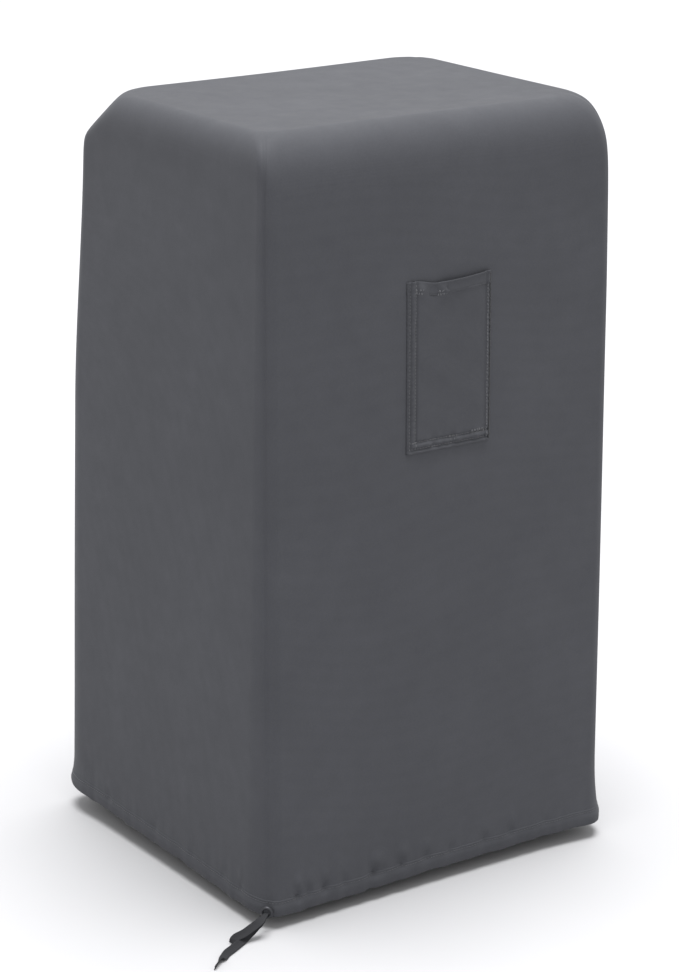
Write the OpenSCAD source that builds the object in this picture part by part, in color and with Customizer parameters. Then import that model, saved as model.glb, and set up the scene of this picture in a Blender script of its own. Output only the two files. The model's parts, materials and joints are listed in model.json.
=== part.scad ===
// Electric cabinet smoker under its fitted fabric cover.
// Millimetres. +Z is up, the door and the pocket face -Y, the hinges are on -X.
// The origin is on the floor under the middle of the smoker.

/* [Cabinet] */
// Width of the cabinet over its side panels
cabinet_w = 430; // [420:2:434]
// Depth of the cabinet behind its front frame
cabinet_d = 300; // [290:2:304]
// Height of the underside above the floor
base_z = 62; // [58:1:66]
// Height of the crowned top above the floor
top_z = 844; // [842:1:846]
// Height of the bevel round the crowned top
crown_h = 28; // [22:1:30]
// Width of the bevel round the crowned top
crown_w = 34; // [28:1:38]
// Thickness of the painted sheet steel
sheet_t = 1.2; // [0.8:0.1:1.5]
// Thickness of the insulated walls
wall_t = 35; // [32:1:38]

/* [Door] */
// Height of the door's lower edge above the floor
door_bottom_z = 112; // [106:1:116]
// Height of the door's upper edge above the floor
door_top_z = 744; // [738:1:746]
// Thickness of the door
door_t = 34; // [30:1:36]
// Gap that the gasket fills between door and front frame
door_gap = 4; // [3.5:0.5:5]
// Radius of the hinge pins
hinge_pin_r = 4; // [3:0.5:4.5]
// Radial clearance of the hinge pins in their bushes
hinge_clearance = 0.06; // [0.02:0.01:0.1]

/* [Racks] */
// Number of food racks, one node each
rack_count = 4; // [4:1:4]
// Height of the lowest food rack above the floor
first_rack_z = 320; // [310:5:330]
// Distance from one rack to the next
rack_pitch = 110; // [100:5:115]
// Number of cross wires in a rack
rack_wires = 15; // [9:2:19]

/* [Controls] */
// Diameter of a push button
button_d = 18; // [14:1:20]
// Travel of a push button
button_travel = 1.2; // [0.8:0.1:1.4]
// Turn of the smoke damper from shut to open, in degrees
damper_turn = 90; // [80:1:100]

/* [Cover] */
// Width of the fabric cover at its shoulders
cover_w = 456; // [450:2:462]
// Depth of the fabric cover at its shoulders
cover_d = 374; // [370:2:380]
// Height of the hem above the floor
hem_z = 16; // [14:1:24]
// Height of the cover's top above the floor
cover_top_z = 858; // [854:1:862]
// How far the hem stands out beyond the shoulders, on each side
flare_x = 7; // [4:1:12]
// How far the hem stands out beyond the shoulders, at front and back
flare_y = 22; // [16:1:26]
// Radius of the roll along the top edges
roll_r = 45; // [40:1:50]
// Thickness of the coated fabric
fabric_t = 2; // [1:0.5:2]
// Height of the drawcord casing along the hem
casing_h = 20; // [18:1:28]

/* [Pocket] */
// Width of the patch pocket
pocket_w = 107; // [90:1:120]
// Height of the patch pocket
pocket_h = 185; // [160:5:200]
// Height of the pocket's lower edge above the floor
pocket_z = 506; // [480:2:530]

/* [Hidden] */
$fn = 32;

// Cabinet planes
half_w = cabinet_w / 2;
back_y = 172;
front_y = back_y - cabinet_d;
frame_t = 1.6;
in_front_y = front_y + frame_t;
chamber_half_w = half_w - wall_t;
chamber_back_y = back_y - wall_t + 4;
chamber_floor_z = base_z + 40;
chamber_roof_z = 780;
crown_z = top_z - crown_h;
liner_t = 1;
mouth_half_w = 170;
mouth_bottom_z = door_bottom_z + 16;
mouth_top_z = door_top_z - 16;

// Door planes and hinge axis
door_back_y = front_y - door_gap;
door_front_y = door_back_y - door_t;
hinge_x = -half_w + 8;
hinge_y = door_back_y - 18;
hinge_plate_t = 3;
bush_r = 6.5;
bush_h = 12;
gasket_out = 188;
gasket_in = 176;
handle_x = 186;
handle_z = 340;
handle_h = 130;
handle_w = 22;
handle_bar_t = 8;
handle_reach = 26;

// Controls above the door
housing_bottom_z = door_top_z + 6;
housing_wall = 3;
controls_z = 800;
display_x = -70;
display_w = 88;
display_h = 30;
button_gap = 34;
first_button_x = 24;
button_clearance = 0.25;
board_in = 16;
board_x0 = -130;
board_x1 = 150;

// Smoke vent at the back right of the top
vent_x = 120;
vent_y = 80;
vent_r = 25;
vent_wall = 1.2;
vent_flange_r = 36;
vent_plate_z = top_z + 1.5;
damper_z = vent_plate_z + 0.3;
damper_t = 1.5;
vent_pin_r = 3;
vent_slot_in = 8;
vent_slot_out = 22;
vent_head_z = damper_z + damper_t + 0.4;

// Legs, feet, gland
leg_x = 184;
leg_front_y = -98;
leg_back_y = 144;
leg_r = 14;
foot_r = 18;
foot_h = 18;
foot_floor = 6;
gland_x = 130;
gland_z = 96;
gland_r = 7;
cord_r = 3.75;
screw_r = 2;
screw_gap = 0.1;
screw_in = 8;
side_return = 14;

// Inside the chamber
rod_r = 3;
rack_frame_r = 2;
rack_wire_r = 1.4;
rack_front_y = -106;
rack_back_y = 120;
water_ledge_z = 232;
tray_half_w = 92;
tray_rim_z = 184;
element_x = 70;
element_z = chamber_floor_z + 26;
element_r = 4;
probe_x = -110;
probe_z = 520;
probe_r = 2.5;

// Cover planes
cover_half_w = cover_w / 2;
cover_half_d = cover_d / 2;
shoulder_z = cover_top_z - roll_r;
cover_corner_r = 20;
casing_top_z = hem_z + casing_h;
pocket_t = 3;
eyelet_z = hem_z + 9;
eyelet_r = 7;
eyelet_hole_r = 3.5;
pocket_tilt = atan(flare_y / (shoulder_z - hem_z));
ribbon_w = 9;
ribbon_t = 1.6;
tail_short_route = [
    [-232, -206, 25.5], [-235.5, -208.8, 25], [-239.5, -211.5, 23.6], [-243.3, -213.6, 21.6],
    [-247.5, -214.8, 19.8], [-251.7, -215.1, 18], [-255.3, -214.9, 16.4], [-258.8, -214.5, 14.8],
    [-262, -214.3, 13.2], [-265, -214, 11.8], [-268, -213.3, 10.5], [-271, -212.4, 9.3],
    [-274, -211.4, 8], [-276.6, -210.8, 6.2], [-278, -210.9, 3.8], [-278.9, -211, 1.6]
];
tail_long_route = [
    [-232, -206, 23.8], [-235.6, -208.8, 22.6], [-239.5, -210.8, 20.2], [-243, -211.6, 17.4],
    [-246.5, -211.6, 14.6], [-250, -211, 11.6], [-254, -210.6, 8.6], [-258.5, -211, 6.2],
    [-263.5, -212.8, 4.6], [-269, -215.3, 3.6], [-275, -218.4, 2.8], [-282, -222, 2.4],
    [-290, -225.8, 2.2], [-298.5, -229.8, 2], [-306.5, -235, 2], [-313.5, -240.2, 2],
    [-320, -245.2, 2], [-325.5, -249.5, 2]
];

// Corner-to-corner box.
module block(low, high) {
    translate(low) cube(high - low);
}

// Round bar between two points.
module rod(from, to, r) {
    span = to - from;
    lean = acos(span[2] / norm(span));
    turn = atan2(span[1], span[0]);
    translate(from) rotate([0, lean, turn]) cylinder(r = r, h = norm(span), $fn = 16);
}

// Cylinder along Y.
module y_bar(at, r, length) {
    translate(at) rotate([-90, 0, 0]) cylinder(r = r, h = length);
}

// Closed block under the crowned outside of the smoker, moved in by inset.
module crowned_block(inset) {
    hw = half_w - inset;
    y0 = door_front_y + inset;
    y1 = back_y - inset;
    z0 = base_z + inset;
    edge_z = crown_z - inset / 2;
    intersection() {
        translate([0, y1, 0]) rotate([90, 0, 0]) linear_extrude(y1 - y0)
            polygon([[-hw, z0], [hw, z0], [hw, edge_z], [hw - crown_w, top_z - inset],
                     [crown_w - hw, top_z - inset], [-hw, edge_z]]);
        rotate([90, 0, 90]) translate([0, 0, -hw]) linear_extrude(2 * hw)
            polygon([[y0, z0], [y1, z0], [y1, edge_z], [y1 - crown_w, top_z - inset],
                     [y0 + crown_w, top_z - inset], [y0, edge_z]]);
    }
}

// The column of screws along one side of the back panel.
module screw_places(side) {
    for (z = [base_z + 14 : 150 : crown_z - 20]) translate([side * (half_w - screw_in), 0, z]) children();
}

// Outline of a rectangle with rounded corners, counterclockwise.
function rounded_outline(hw, hd, r, steps = 5) = [
    for (c = [[1, 1, 0], [-1, 1, 90], [-1, -1, 180], [1, -1, 270]], i = [0:steps])
        [c[0] * (hw - r) + r * cos(c[2] + 90 * i / steps),
         c[1] * (hd - r) + r * sin(c[2] + 90 * i / steps)]
];

// Closed solid through a stack of rings with the same number of points.
module loft(rings) {
    n = len(rings[0]);
    last = len(rings) - 1;
    polyhedron(
        points = [for (ring = rings, p = ring) p],
        faces = concat(
            [[for (i = [0:n - 1]) i]],
            [[for (i = [n - 1:-1:0]) last * n + i]],
            [for (k = [0:last - 1], i = [0:n - 1])
                [k * n + i, (k + 1) * n + i, (k + 1) * n + (i + 1) % n, k * n + (i + 1) % n]]
        )
    );
}

// ---- Cabinet ----

// Side sheet with a return at the front and one at the back that takes the panel screws.
module side_panel_right() {
    color("#2b2c2e") difference() {
        block([half_w - side_return, in_front_y, base_z], [half_w, back_y - sheet_t, crown_z - sheet_t]);
        block([half_w - side_return - 1, in_front_y + sheet_t, base_z - 1],
              [half_w - sheet_t, back_y - 2 * sheet_t, top_z]);
        screw_places(1) y_bar([0, back_y - 10, 0], screw_r + screw_gap, 12);
    }
}

module side_panel_left() mirror([1, 0, 0]) side_panel_right();

// Pressed lid with a bevel on three sides; the control housing carries on the fourth.
module top_panel() {
    color("#2b2c2e") difference() {
        crowned_block(0);
        crowned_block(sheet_t);
        block([-half_w - 1, door_front_y - 1, 0], [half_w + 1, in_front_y, top_z + 1]);
        block([-half_w - 1, in_front_y - 1, 0], [half_w + 1, back_y + 1, crown_z - sheet_t]);
        translate([vent_x, vent_y, top_z - 5]) cylinder(r = vent_r + vent_wall + 0.2, h = 10);
    }
}

module back_panel() {
    color("#2b2c2e") difference() {
        block([-half_w, back_y - sheet_t, base_z], [half_w, back_y, crown_z - sheet_t]);
        y_bar([gland_x, back_y - 5, gland_z], gland_r + 0.1, 10);
        for (side = [-1, 1]) screw_places(side) y_bar([0, back_y - 5, 0], screw_r + screw_gap, 10);
    }
}

module base_pan() {
    color("#2b2c2e") difference() {
        block([-half_w + sheet_t, in_front_y + sheet_t, base_z],
              [half_w - sheet_t, back_y - 2 * sheet_t, base_z + sheet_t]);
        for (x = [-leg_x, leg_x], y = [leg_front_y, leg_back_y])
            translate([x, y, base_z - 5]) cylinder(r = 4.1, h = 10);
    }
}

module front_frame() {
    color("#33353a") difference() {
        intersection() {
            crowned_block(0);
            block([-half_w, front_y, base_z], [half_w, in_front_y, top_z]);
        }
        block([-mouth_half_w, front_y - 1, mouth_bottom_z], [mouth_half_w, in_front_y + 1, mouth_top_z]);
    }
}

module chamber_liner() {
    color("#b9bcc0") difference() {
        block([-chamber_half_w - liner_t, in_front_y, chamber_floor_z - liner_t],
              [chamber_half_w + liner_t, chamber_back_y + liner_t, chamber_roof_z + liner_t]);
        block([-chamber_half_w, in_front_y - 1, chamber_floor_z],
              [chamber_half_w, chamber_back_y, chamber_roof_z]);
        translate([vent_x, vent_y, chamber_roof_z - 2])
            cylinder(r = vent_r + vent_wall + 0.2, h = 10);
        for (x = [-element_x, element_x]) y_bar([x, chamber_back_y - 2, element_z], element_r + 1, 10);
        y_bar([probe_x, chamber_back_y - 2, probe_z], probe_r + 0.7, 10);
    }
}

// Square duct through the insulation of the back wall.
module wall_duct(x, z, reach) {
    block([x - reach, chamber_back_y, z - reach], [x + reach, back_y, z + reach]);
}

module insulation() {
    gap = 0.2;
    color("#d9c98f") difference() {
        block([-half_w + sheet_t + gap, in_front_y + sheet_t + gap, base_z + 8],
              [half_w - sheet_t - gap, back_y - sheet_t - gap, crown_z - sheet_t - gap]);
        block([-chamber_half_w - liner_t - gap, in_front_y - 1, chamber_floor_z - liner_t - gap],
              [chamber_half_w + liner_t + gap, chamber_back_y + liner_t + gap,
               chamber_roof_z + liner_t + gap]);
        translate([vent_x, vent_y, chamber_roof_z - 2])
            cylinder(r = vent_r + vent_wall + gap, h = 80);
        for (x = [-element_x, element_x]) wall_duct(x, element_z, 12);
        wall_duct(probe_x, probe_z, 8);
        wall_duct(gland_x, gland_z, 16);
        for (x = [-half_w, half_w]) block([x - 20, back_y - 12, base_z], [x + 20, back_y, top_z]);
    }
}

// Wire frame on one side wall, with a ledge for the water pan and one for each rack.
module rack_support(side) {
    x_post = side * (chamber_half_w - rod_r - 0.3);
    x_ledge = side * (chamber_half_w - 2.6 * rod_r - 0.3);
    ledges = concat([water_ledge_z], [for (i = [0:rack_count - 1]) first_rack_z + i * rack_pitch]);
    color("#c4c7ca") union() {
        for (y = [-80, 100])
            rod([x_post, y, chamber_floor_z + 0.2], [x_post, y, ledges[rack_count] + 30], rod_r);
        for (z = ledges) rod([x_ledge, -112, z - 2 * rod_r], [x_ledge, 126, z - 2 * rod_r], rod_r);
    }
}

module rack_support_left() rack_support(-1);

module rack_support_right() rack_support(1);

// Chrome wire rack that rests on its two ledges.
module rack(index) {
    z = first_rack_z + index * rack_pitch - rod_r + rack_frame_r + 0.1;
    hw = chamber_half_w - 2 * rod_r - 3;
    color("#d4d7da") union() {
        for (x = [-hw, hw]) rod([x, rack_front_y, z], [x, rack_back_y, z], rack_frame_r);
        for (y = [rack_front_y, rack_back_y]) rod([-hw, y, z], [hw, y, z], rack_frame_r);
        for (i = [1:rack_wires]) {
            x = -hw + 2 * hw * i / (rack_wires + 1);
            rod([x, rack_front_y, z], [x, rack_back_y, z], rack_wire_r);
        }
    }
}

module rack_1() rack(0);

module rack_2() rack(1);

module rack_3() rack(2);

module rack_4() rack(3);

// Open tray with a rim, walls of thickness t.
module tray(low, high, t, rim) {
    difference() {
        union() {
            block(low, high);
            block([low[0] - rim, low[1] - rim, high[2] - t], [high[0] + rim, high[1] + rim, high[2]]);
        }
        block([low[0] + t, low[1] + t, low[2] + t], [high[0] - t, high[1] - t, high[2] + 1]);
    }
}

module water_pan() {
    color("#5d6064")
        tray([-155, -90, water_ledge_z - 38], [155, 100, water_ledge_z - rod_r + 1.4], 1.2, 16);
}

module chip_tray() {
    color("#5d6064") tray([-tray_half_w, -96, tray_rim_z - 35], [tray_half_w, 30, tray_rim_z + 1], 1, 6);
}

// Channel on the back wall that carries the chip tray over the element.
module chip_box() {
    box_half_w = tray_half_w + 8;
    low_z = tray_rim_z - 44;
    color("#a9acb0") difference() {
        block([-box_half_w, -102, low_z], [box_half_w, chamber_back_y, tray_rim_z]);
        block([-box_half_w + sheet_t, -103, low_z - 1],
              [box_half_w - sheet_t, chamber_back_y + 1, tray_rim_z - sheet_t]);
        block([-tray_half_w - 1, -103, low_z - 1], [tray_half_w + 1, 31, tray_rim_z + 1]);
    }
}

module drip_pan() {
    color("#8f9296")
        tray([-165, -112, chamber_floor_z + 0.2], [165, 100, chamber_floor_z + 14], 1, 2);
}

// Two straight legs, one return bend, cold ends through the back wall.
module heating_element() {
    color("#3c3e41") union() {
        for (x = [-element_x, element_x]) {
            y_bar([x, 0, element_z], element_r, back_y - 10);
            y_bar([x, chamber_back_y + liner_t, element_z], 2 * element_r, 4);
        }
        translate([0, 0, element_z]) rotate([0, 0, 180])
            rotate_extrude(angle = 180) translate([element_x, 0]) circle(r = element_r);
    }
}

module temperature_probe() {
    color("#c4c7ca") union() {
        y_bar([probe_x, chamber_back_y - 60, probe_z], probe_r, 80);
        y_bar([probe_x, chamber_back_y + liner_t, probe_z], 7, 8);
    }
}

// ---- Controls ----

module button_holes(r, y, length) {
    for (i = [0:3]) y_bar([first_button_x + i * button_gap, y, controls_z], r, length);
}

module control_housing() {
    color("#1f2022") difference() {
        intersection() {
            crowned_block(0);
            block([-half_w, door_front_y, housing_bottom_z], [half_w, front_y, top_z]);
        }
        intersection() {
            crowned_block(housing_wall);
            block([-half_w, door_front_y, housing_bottom_z + housing_wall], [half_w, front_y + 1, top_z]);
        }
        block([display_x - display_w / 2, door_front_y - 1, controls_z - display_h / 2],
              [display_x + display_w / 2, door_front_y + 10, controls_z + display_h / 2]);
        button_holes(button_d / 2 + button_clearance, door_front_y - 1, 10);
    }
    color("#1f2022") for (x = [board_x0 + 6, board_x1 - 6], z = [-18, 18])
        y_bar([x, door_front_y + housing_wall - 0.5, controls_z + z], 3, board_in - housing_wall + 0.5);
}

module control_board() {
    color("#1d5b3a") union() {
        y = door_front_y + board_in;
        block([board_x0, y, controls_z - 24], [board_x1, y + 1.6, controls_z + 24]);
        block([display_x - 40, y - 8, controls_z - 12], [display_x + 40, y, controls_z + 12]);
        block([board_x0 + 10, y + 1.6, controls_z - 14], [board_x0 + 42, front_y - 6, controls_z + 14]);
        button_holes(4, y - 4, 4);
    }
}

module display_window() {
    color("#10181c", 0.7)
        block([display_x - display_w / 2 + 0.1, door_front_y + 0.6, controls_z - display_h / 2 + 0.1],
              [display_x + display_w / 2 - 0.1, door_front_y + 2.8, controls_z + display_h / 2 - 0.1]);
}

// Cap with a flange behind the front wall, stopped short of its switch by the travel.
module push_button(index) {
    x = first_button_x + index * button_gap;
    wall_in_y = door_front_y + housing_wall;
    color("#c9ccd0") union() {
        y_bar([x, door_front_y - 1.6, controls_z], button_d / 2, housing_wall + 3);
        y_bar([x, wall_in_y + 0.1, controls_z], button_d / 2 + 2, 1.5);
        y_bar([x, wall_in_y + 0.1, controls_z], 3, board_in - housing_wall - 4.4 - button_travel);
    }
}

module button_power() push_button(0);

module button_set() push_button(1);

module button_minus() push_button(2);

module button_plus() push_button(3);

// ---- Smoke vent ----

module quarter_slots(z, h) {
    for (a = [0, 180]) rotate([0, 0, a]) translate([0, 0, z])
        rotate_extrude(angle = 80) translate([vent_slot_in, 0]) square([vent_slot_out - vent_slot_in, h]);
}

module vent_collar() {
    color("#8f9296") translate([vent_x, vent_y, 0]) union() {
        difference() {
            translate([0, 0, chamber_roof_z - 1])
                cylinder(r = vent_r + vent_wall, h = vent_plate_z - chamber_roof_z);
            translate([0, 0, chamber_roof_z - 2]) cylinder(r = vent_r, h = 80);
        }
        difference() {
            translate([0, 0, top_z]) cylinder(r = vent_flange_r, h = vent_plate_z - top_z);
            quarter_slots(top_z - 1, 4);
        }
        translate([0, 0, top_z]) cylinder(r = vent_pin_r, h = vent_head_z - top_z + 1);
        translate([0, 0, vent_head_z]) cylinder(r = 2 * vent_pin_r, h = 1.4);
    }
}

// Disc that shuts the slots at rest and opens them when turned by damper_turn.
module vent_damper() {
    color("#2b2c2e") translate([vent_x, vent_y, 0]) rotate([0, 0, 180 - damper_turn]) union() {
        difference() {
            translate([0, 0, damper_z]) cylinder(r = vent_flange_r - 3, h = damper_t);
            quarter_slots(damper_z - 1, 4);
            translate([0, 0, damper_z - 1]) cylinder(r = vent_pin_r + hinge_clearance, h = 5);
        }
        translate([26, -5, damper_z + damper_t]) cube([1.6, 10, 5]);
    }
}

// ---- Hinges, catch, legs, gland ----

// Plate on the front frame with a riveted pin that points into the door.
module hinge_bracket(plate_z, pin_z) {
    color("#7d8084") union() {
        block([hinge_x - 7, hinge_y - 7, plate_z], [hinge_x + 15, front_y, plate_z + hinge_plate_t]);
        translate([hinge_x, hinge_y, pin_z]) cylinder(r = hinge_pin_r, h = bush_h);
    }
}

module hinge_bracket_upper() hinge_bracket(door_top_z + 0.8, door_top_z - bush_h + 1);

module hinge_bracket_lower() {
    hinge_bracket(door_bottom_z - 0.8 - hinge_plate_t, door_bottom_z - 1);
}

module catch_magnet() {
    color("#4a4c50") block([194, front_y - door_gap + 0.3, 400], [208, front_y, 460]);
}

module leg(x, y) {
    color("#2b2c2e") translate([x, y, 0]) union() {
        translate([0, 0, foot_floor]) cylinder(r = leg_r - 0.05, h = base_z - foot_floor);
        translate([0, 0, base_z - 3]) cylinder(r = leg_r + 6, h = 3);
        translate([0, 0, base_z - 1]) cylinder(r = 4, h = 6);
    }
}

module leg_front_left() leg(-leg_x, leg_front_y);

module leg_front_right() leg(leg_x, leg_front_y);

module leg_back_left() leg(-leg_x, leg_back_y);

module leg_back_right() leg(leg_x, leg_back_y);

module foot(x, y) {
    color("#141415") translate([x, y, 0]) difference() {
        cylinder(r = foot_r, h = foot_h);
        translate([0, 0, foot_floor]) cylinder(r = leg_r, h = foot_h);
    }
}

module foot_front_left() foot(-leg_x, leg_front_y);

module foot_front_right() foot(leg_x, leg_front_y);

module foot_back_left() foot(-leg_x, leg_back_y);

module foot_back_right() foot(leg_x, leg_back_y);

// Cable gland in the back panel, bored for the supply cord.
module cord_gland() {
    color("#141415") translate([gland_x, back_y, gland_z]) rotate([-90, 0, 0]) difference() {
        union() {
            translate([0, 0, -14]) cylinder(r = gland_r, h = 26);
            cylinder(r = 12, h = 5);
            translate([0, 0, -sheet_t - 5]) cylinder(r = 11, h = 5);
        }
        translate([0, 0, -20]) cylinder(r = cord_r, h = 40);
    }
}

module panel_screws() {
    color("#9a9da1") for (side = [-1, 1]) screw_places(side) {
        y_bar([0, back_y - 8, 0], screw_r, 8);
        y_bar([0, back_y, 0], 2 * screw_r, 2);
    }
}

// ---- Door ----

module door_skin() {
    color("#2b2c2e") difference() {
        block([-half_w, door_front_y, door_bottom_z], [half_w, door_back_y - 1, door_top_z]);
        block([-half_w + sheet_t, door_front_y + sheet_t, door_bottom_z + sheet_t],
              [half_w - sheet_t, door_back_y + 1, door_top_z - sheet_t]);
        translate([hinge_x, hinge_y, door_bottom_z - 5]) cylinder(r = bush_r, h = 10);
        translate([hinge_x, hinge_y, door_top_z - 5]) cylinder(r = bush_r, h = 10);
    }
}

module door_liner() {
    color("#b9bcc0")
        block([-half_w, door_back_y - 1, door_bottom_z], [half_w, door_back_y, door_top_z]);
}

module door_insulation() {
    gap = 0.2;
    color("#d9c98f") difference() {
        block([-half_w + sheet_t + gap, door_front_y + sheet_t + gap, door_bottom_z + sheet_t + gap],
              [half_w - sheet_t - gap, door_back_y - 1 - gap, door_top_z - sheet_t - gap]);
        for (z = [door_bottom_z, door_top_z]) translate([hinge_x, hinge_y, z - 20]) cylinder(r = 10, h = 40);
    }
}

module door_gasket() {
    color("#1a1a1b") difference() {
        block([-gasket_out, door_back_y, mouth_bottom_z - 10],
              [gasket_out, front_y - 0.3, mouth_top_z + 10]);
        block([-gasket_in, door_back_y - 1, mouth_bottom_z - 1],
              [gasket_in, front_y + 1, mouth_top_z + 1]);
    }
}

// Flat bar on two posts.
module door_handle() {
    out_y = door_front_y - handle_reach;
    color("#8f9296") union() {
        block([handle_x - handle_w / 2, out_y, handle_z - handle_h / 2],
              [handle_x + handle_w / 2, out_y + handle_bar_t, handle_z + handle_h / 2]);
        for (z = [handle_z - handle_h / 2 + 8, handle_z + handle_h / 2 - 8])
            y_bar([handle_x, out_y + handle_bar_t - 1, z], 6, handle_reach - handle_bar_t + 1);
    }
}

module door_bushes() {
    color("#e6e3da") {
        for (z = [door_bottom_z, door_top_z - bush_h]) translate([hinge_x, hinge_y, z]) difference() {
            cylinder(r = bush_r - 0.05, h = bush_h);
            translate([0, 0, -1]) cylinder(r = hinge_pin_r + hinge_clearance, h = bush_h + 2);
        }
    }
}

// ---- Fabric cover ----

// Ring of the cover's skin, moved in by inset, at height z on the flared walls.
function wall_ring(inset, z) = let (
    k = (shoulder_z - z) / (shoulder_z - hem_z)
) [
    for (p = rounded_outline(cover_half_w + k * flare_x - inset, cover_half_d + k * flare_y - inset,
                             cover_corner_r - inset)) [p[0], p[1], z]
];

// Ring on the roll between wall and top, at angle a from the shoulder.
function roll_ring(inset, a) = let (
    pull = roll_r - (roll_r - inset) * cos(a)
) [
    for (p = rounded_outline(cover_half_w - pull, cover_half_d - pull, cover_corner_r - inset))
        [p[0], p[1], shoulder_z + (roll_r - inset) * sin(a)]
];

module cover_block(inset, bottom_z) {
    loft(concat([wall_ring(inset, bottom_z)], [for (a = [0:15:90]) roll_ring(inset, a)]));
}

module cover_skin() {
    difference() {
        cover_block(0, hem_z);
        cover_block(fabric_t, hem_z - 10);
    }
}

// The part of the skin in one quarter of the plan, between the casing and the shoulder.
module cover_wall(turn, reach, half_side) {
    color("#4f5053") intersection() {
        cover_skin();
        rotate([0, 0, turn]) translate([0, 0, casing_top_z]) linear_extrude(shoulder_z - casing_top_z)
            polygon([[0, 0], [2 * half_side, -2 * reach], [-2 * half_side, -2 * reach]]);
    }
}

module cover_top_panel() {
    color("#7f8388") intersection() {
        cover_skin();
        block([-300, -300, shoulder_z], [300, 300, cover_top_z + 10]);
    }
}

module cover_front_panel() cover_wall(0, cover_half_d, cover_half_w);

module cover_back_panel() cover_wall(180, cover_half_d, cover_half_w);

module cover_left_panel() cover_wall(-90, cover_half_w, cover_half_d);

module cover_right_panel() cover_wall(90, cover_half_w, cover_half_d);

// Straight-walled band that follows the hem's outline, between two offsets from the skin.
module hem_band(out, in, z0, z1) {
    hw = cover_half_w + flare_x;
    hd = cover_half_d + flare_y;
    difference() {
        translate([0, 0, z0]) linear_extrude(z1 - z0)
            polygon(rounded_outline(hw + out, hd + out, cover_corner_r + out));
        translate([0, 0, z0 - 1]) linear_extrude(z1 - z0 + 2)
            polygon(rounded_outline(hw + in, hd + in, cover_corner_r + in));
    }
}

// Place on the hem's near left corner, with X pointing out of it.
module at_corner(out) {
    x = cover_half_w + flare_x - cover_corner_r;
    y = cover_half_d + flare_y - cover_corner_r;
    reach = (cover_corner_r + out) / sqrt(2);
    translate([-x - reach, -y - reach, eyelet_z]) rotate([0, 0, 225]) children();
}

module cover_hem_casing() {
    wall = 1.2;
    color("#4a4b4e") difference() {
        hem_band(2.5, -3.5, hem_z, casing_top_z);
        hem_band(2.5 - wall, -3.5 + wall, hem_z + wall, casing_top_z - wall);
        at_corner(-2) rotate([0, 90, 0]) cylinder(r = eyelet_hole_r, h = 10);
    }
}

// Patch pocket, sewn on three sides and open by a slit at the top.
module cover_pocket() {
    front_at_pocket = cover_half_d + flare_y * (shoulder_z - pocket_z) / (shoulder_z - hem_z);
    slit = 0.8;
    edge = 5;
    color("#434447") translate([0, -front_at_pocket, pocket_z]) rotate([-pocket_tilt, 0, 0]) difference() {
        block([-pocket_w / 2, -pocket_t, 0], [pocket_w / 2, -0.1, pocket_h]);
        block([-pocket_w / 2 + edge, -pocket_t / 2 - slit / 2, edge],
              [pocket_w / 2 - edge, -pocket_t / 2 + slit / 2, pocket_h + 1]);
    }
}

module cover_eyelet() {
    color("#3a3b3d") at_corner(2.6) rotate([0, 90, 0]) difference() {
        cylinder(r = eyelet_r, h = 1.4);
        translate([0, 0, -1]) cylinder(r = eyelet_hole_r, h = 4);
    }
}

module drawcord_loop() {
    color("#2e2f31") hem_band(0.3, -1.3, hem_z + 5, hem_z + 5 + ribbon_w);
}

// Flat ribbon swept along a route: an eight-sided section that stays level across.
module ribbon(route) {
    last = len(route) - 1;
    loft([for (i = [0:last]) let (
        ahead = route[min(i + 1, last)] - route[max(i - 1, 0)],
        along = ahead / norm(ahead),
        level = cross(along, [0, 0, 1]),
        side = level / norm(level),
        face = cross(side, along),
        width = ribbon_w * min(1, 0.55 + i * 0.15)
    ) [for (k = [0:7]) route[i] + side * (width / 2 * cos(45 * k + 22.5))
                                + face * (ribbon_t / 2 * sin(45 * k + 22.5))]]);
}

module drawcord_tail_short() color("#2e2f31") ribbon(tail_short_route);

module drawcord_tail_long() color("#2e2f31") ribbon(tail_long_route);

// ---- Assembly ----

side_panel_left();
side_panel_right();
top_panel();
back_panel();
base_pan();
front_frame();
chamber_liner();
insulation();
rack_support_left();
rack_support_right();
rack_1();
rack_2();
rack_3();
rack_4();
water_pan();
chip_tray();
chip_box();
drip_pan();
heating_element();
temperature_probe();
control_housing();
control_board();
display_window();
button_power();
button_set();
button_minus();
button_plus();
vent_collar();
vent_damper();
hinge_bracket_upper();
hinge_bracket_lower();
catch_magnet();
leg_front_left();
leg_front_right();
leg_back_left();
leg_back_right();
foot_front_left();
foot_front_right();
foot_back_left();
foot_back_right();
cord_gland();
panel_screws();
door_skin();
door_liner();
door_insulation();
door_gasket();
door_handle();
door_bushes();
cover_top_panel();
cover_front_panel();
cover_back_panel();
cover_left_panel();
cover_right_panel();
cover_hem_casing();
cover_pocket();
cover_eyelet();
drawcord_loop();
drawcord_tail_short();
drawcord_tail_long();
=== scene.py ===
import json
import math

import bmesh
import bpy
import numpy as np
from mathutils import Matrix, Vector


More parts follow.
